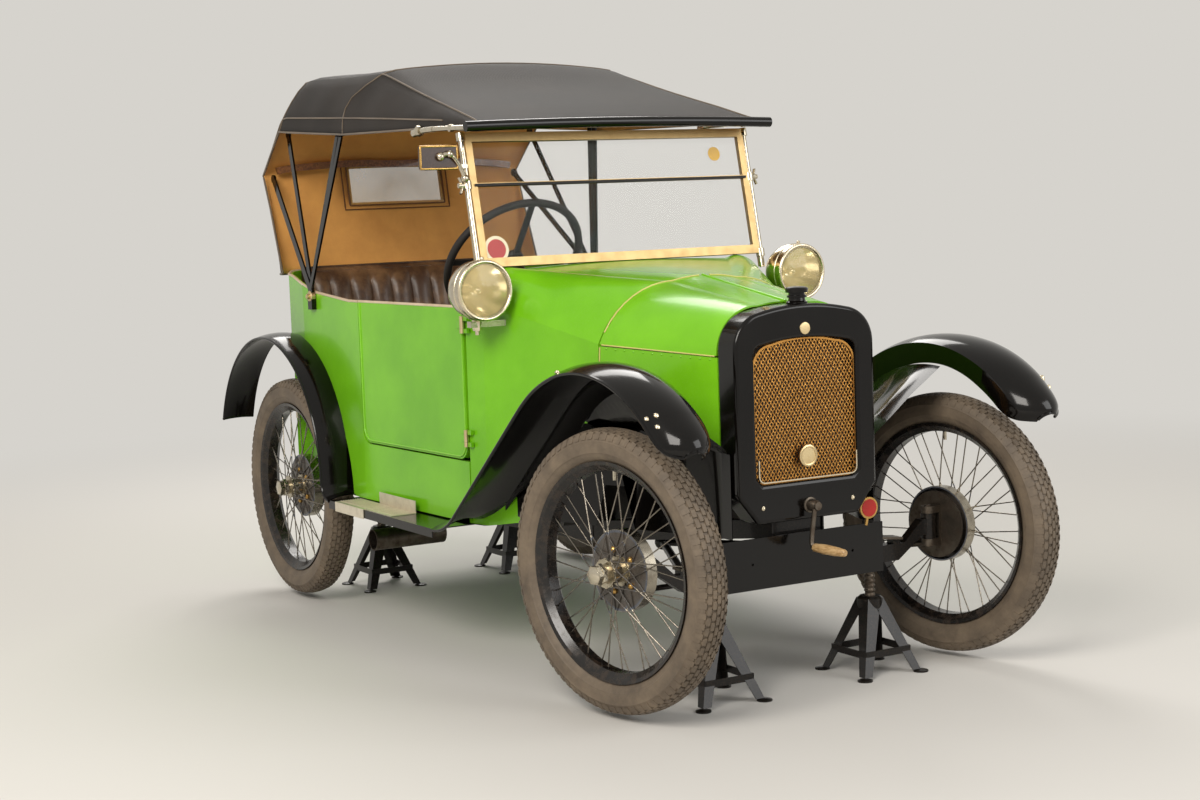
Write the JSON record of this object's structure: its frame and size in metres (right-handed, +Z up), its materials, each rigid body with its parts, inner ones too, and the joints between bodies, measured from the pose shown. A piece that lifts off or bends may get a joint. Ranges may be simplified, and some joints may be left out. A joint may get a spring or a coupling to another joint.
{
  "type": "1920s light touring car",
  "caption": "Small open touring car with raised cloth hood, spoked wire wheels and black wings, held on axle stands.",
  "frame": {"origin": "on the floor under the middle of the car's bounding box", "axes": "+X forward, +Y to the car's left, +Z up"},
  "size_m": [2.7548, 1.2132, 1.635],
  "materials": {
    "body_green": "gloss coach enamel",
    "wing_black": "gloss stove enamel",
    "frame_black": "satin chassis black",
    "hood_cloth": "rubberised hood duck",
    "leather_brown": "pleated hide",
    "brass": "lacquered brass",
    "nickel": "nickel plate",
    "aluminium": "tread plate",
    "steel_grey": "oiled steel",
    "iron": "cast casing",
    "tyre_rubber": "moulded rubber",
    "glass": "clear",
    "wood_brown": "varnished ash",
    "mirror": "silvered",
    "black_rim": "moulded ebonite"
  },
  "bodies": {
    "car": {"axle_stands": "frame_black", "body_tub": "body_green", "chassis_frame": "frame_black", "dash_and_toe_boards": "wood_brown", "engine_block": "iron", "exhaust": "steel_grey", "front_axle": "frame_black", "headlamp_glasses": "glass", "headlamps": "nickel", "hood_cover": "hood_cloth", "hood_irons": "frame_black", "levers": "frame_black", "mirror": "mirror", "number_plate": "wing_black", "radiator_cap": "nickel", "radiator_core": "iron", "radiator_grille": "brass", "radiator_shell": "wing_black", "rear_axle": "frame_black", "running_boards": "wing_black", "scuttle": "body_green", "seats": "leather_brown", "springs": "steel_grey", "starting_handle": "steel_grey", "steering_column": "frame_black", "step_plates": "aluminium", "windscreen_frame": "brass", "windscreen_glass": "glass", "wings": "wing_black"},
    "steering_wheel_body": {"steering_wheel": "black_rim"},
    "knuckle_right_body": {"knuckle_right": "steel_grey"},
    "knuckle_left_body": {"knuckle_left": "steel_grey"},
    "track_rod_body": {"track_rod": "frame_black"},
    "front_right_wheel": {"tyre_front_right": "tyre_rubber", "wheel_front_right": "wing_black"},
    "front_left_wheel": {"tyre_front_left": "tyre_rubber", "wheel_front_left": "wing_black"},
    "rear_right_wheel": {"tyre_rear_right": "tyre_rubber", "wheel_rear_right": "wing_black"},
    "rear_left_wheel": {"tyre_rear_left": "tyre_rubber", "wheel_rear_left": "wing_black"},
    "door_right_body": {"door_right": "body_green"},
    "door_left_body": {"door_left": "body_green"},
    "bonnet_right_body": {"bonnet_right": "body_green"},
    "bonnet_left_body": {"bonnet_left": "body_green"}
  },
  "joints": [
    {"name": "steer_right", "type": "hinge", "parent": "car", "child": "knuckle_right_body", "pos_m": [0.9957, -0.433, 0.349], "axis": [0, 0, 1], "range_deg": [-39, 17]},
    {"name": "steer_left", "type": "hinge", "parent": "car", "child": "knuckle_left_body", "pos_m": [0.9957, 0.433, 0.349], "axis": [0, 0, 1], "range_deg": [-40, 18]},
    {"name": "track_rod_pivot", "type": "hinge", "parent": "knuckle_right_body", "child": "track_rod_body", "pos_m": [0.86809, -0.45781, 0.2627], "axis": [0, 0, 1], "range_deg": [-18, 40]},
    {"name": "steering_wheel_turn", "type": "hinge", "parent": "car", "child": "steering_wheel_body", "pos_m": [-0.0408, -0.18, 1.039], "axis": [-0.7883, 0.0109, 0.6152], "range_deg": [-278, 124]},
    {"name": "front_right_spin", "type": "hinge", "parent": "knuckle_right_body", "child": "front_right_wheel", "pos_m": [1.01001, -0.50662, 0.349], "axis": [0.1908, -0.9816, 0], "continuous": true},
    {"name": "rear_right_spin", "type": "hinge", "parent": "car", "child": "rear_right_wheel", "pos_m": [-0.9093, -0.508, 0.349], "axis": [0, -1, 0], "continuous": true},
    {"name": "front_left_spin", "type": "hinge", "parent": "knuckle_left_body", "child": "front_left_wheel", "pos_m": [0.98139, 0.50662, 0.349], "axis": [-0.1908, 0.9816, 0], "continuous": true},
    {"name": "rear_left_spin", "type": "hinge", "parent": "car", "child": "rear_left_wheel", "pos_m": [-0.9093, 0.508, 0.349], "axis": [0, 1, 0], "continuous": true},
    {"name": "door_right_hinge", "type": "hinge", "parent": "car", "child": "door_right_body", "pos_m": [0.1932, -0.475, 0.739], "axis": [0, 0, 1], "range_deg": [0, 70]},
    {"name": "door_left_hinge", "type": "hinge", "parent": "car", "child": "door_left_body", "pos_m": [0.1932, 0.475, 0.739], "axis": [0, 0, -1], "range_deg": [0, 70]},
    {"name": "bonnet_right_hinge", "type": "hinge", "parent": "car", "child": "bonnet_right_body", "pos_m": [0.6372, 0, 1.007], "axis": [-0.9878, 0, 0.1555], "range_deg": [0, 60]},
    {"name": "bonnet_left_hinge", "type": "hinge", "parent": "car", "child": "bonnet_left_body", "pos_m": [0.6372, 0, 1.007], "axis": [0.9878, 0, -0.1555], "range_deg": [0, 60]}
  ],
  "couplings": [
    {"joint": "steer_left", "follows": "steer_right", "ratio": 1},
    {"joint": "track_rod_pivot", "follows": "steer_right", "ratio": -1},
    {"joint": "steering_wheel_turn", "follows": "steer_right", "ratio": 7}
  ]
}
